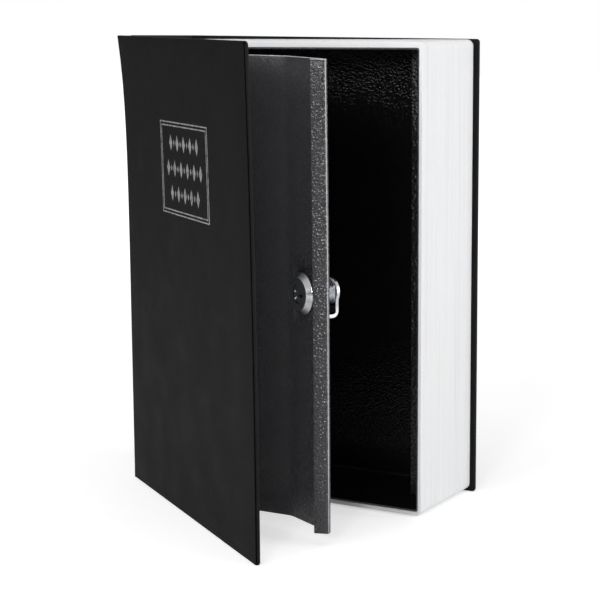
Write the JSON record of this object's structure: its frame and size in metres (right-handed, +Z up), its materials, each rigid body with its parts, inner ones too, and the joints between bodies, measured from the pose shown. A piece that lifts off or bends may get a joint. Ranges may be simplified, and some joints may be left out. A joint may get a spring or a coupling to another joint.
{
  "type": "book diversion safe",
  "caption": "Hard-cover book that hides a steel box with a cam-locked inner door, standing on its tail with cover and door ajar.",
  "frame": {"origin": "middle of the back cover's tail edge, on the surface that the book stands on", "axes": "+X from the spine to the fore-edge, +Y from the front cover to the back cover, +Z up from tail to head"},
  "size_m": [0.1965, 0.1847, 0.265],
  "materials": {
    "leatherette": "black leather-grained book cloth, satin",
    "greyboard": null,
    "endpaper": "white uncoated paper, matt",
    "page_plastic": "white moulded plastic with fine page lines",
    "hammertone_paint": "dark grey hammertone enamel on sheet steel",
    "zinc_plate": "bright zinc plate",
    "lock_chrome": "satin chrome on die-cast zinc",
    "lock_gunmetal": "dark gunmetal, satin"
  },
  "bodies": {
    "book_body": {"back_and_spine_wrap": "leatherette", "back_cover_board": "greyboard", "back_endpaper": "endpaper", "spine_board": "greyboard", "front_joint_cloth": "leatherette", "page_block": "page_plastic", "steel_box": "hammertone_paint", "strike_angle": "hammertone_paint", "box_hinge_leaf_upper": "hammertone_paint", "box_hinge_leaf_lower": "hammertone_paint", "hinge_pin_upper": "zinc_plate", "hinge_pin_lower": "zinc_plate"},
    "front_cover": {"front_cover_wrap": "leatherette", "front_cover_board": "greyboard", "front_endpaper": "endpaper"},
    "inner_door": {"door_panel": "hammertone_paint", "door_hinge_leaf_upper": "hammertone_paint", "door_hinge_leaf_lower": "hammertone_paint", "lock_housing": "lock_chrome", "lock_face": "lock_gunmetal", "lock_nut": "zinc_plate"},
    "lock_plug": {"lock_plug": "lock_gunmetal", "lock_cam": "zinc_plate", "cam_washer": "zinc_plate", "cam_screw": "zinc_plate"}
  },
  "joints": [
    {"name": "front_cover_hinge", "type": "hinge", "parent": "book_body", "child": "front_cover", "pos_m": [-0.0975, -0.0662, 0.1325], "axis": [0, 0, -1], "range_deg": [-36, 119], "deforming": ["front_joint_cloth"]},
    {"name": "inner_door_hinge", "type": "hinge", "parent": "book_body", "child": "inner_door", "pos_m": [-0.0908, -0.0627, 0.1313], "axis": [0, 0, -1], "range_deg": [-28, 92.6]},
    {"name": "lock_plug_turn", "type": "hinge", "parent": "inner_door", "child": "lock_plug", "pos_m": [0.0514, -0.122, 0.132], "axis": [-0.4695, -0.8829, 0], "range_deg": [0, 90]}
  ],
  "couplings": [
    {"joint": "inner_door_hinge", "follows": "front_cover_hinge", "ratio": 0.77778}
  ]
}
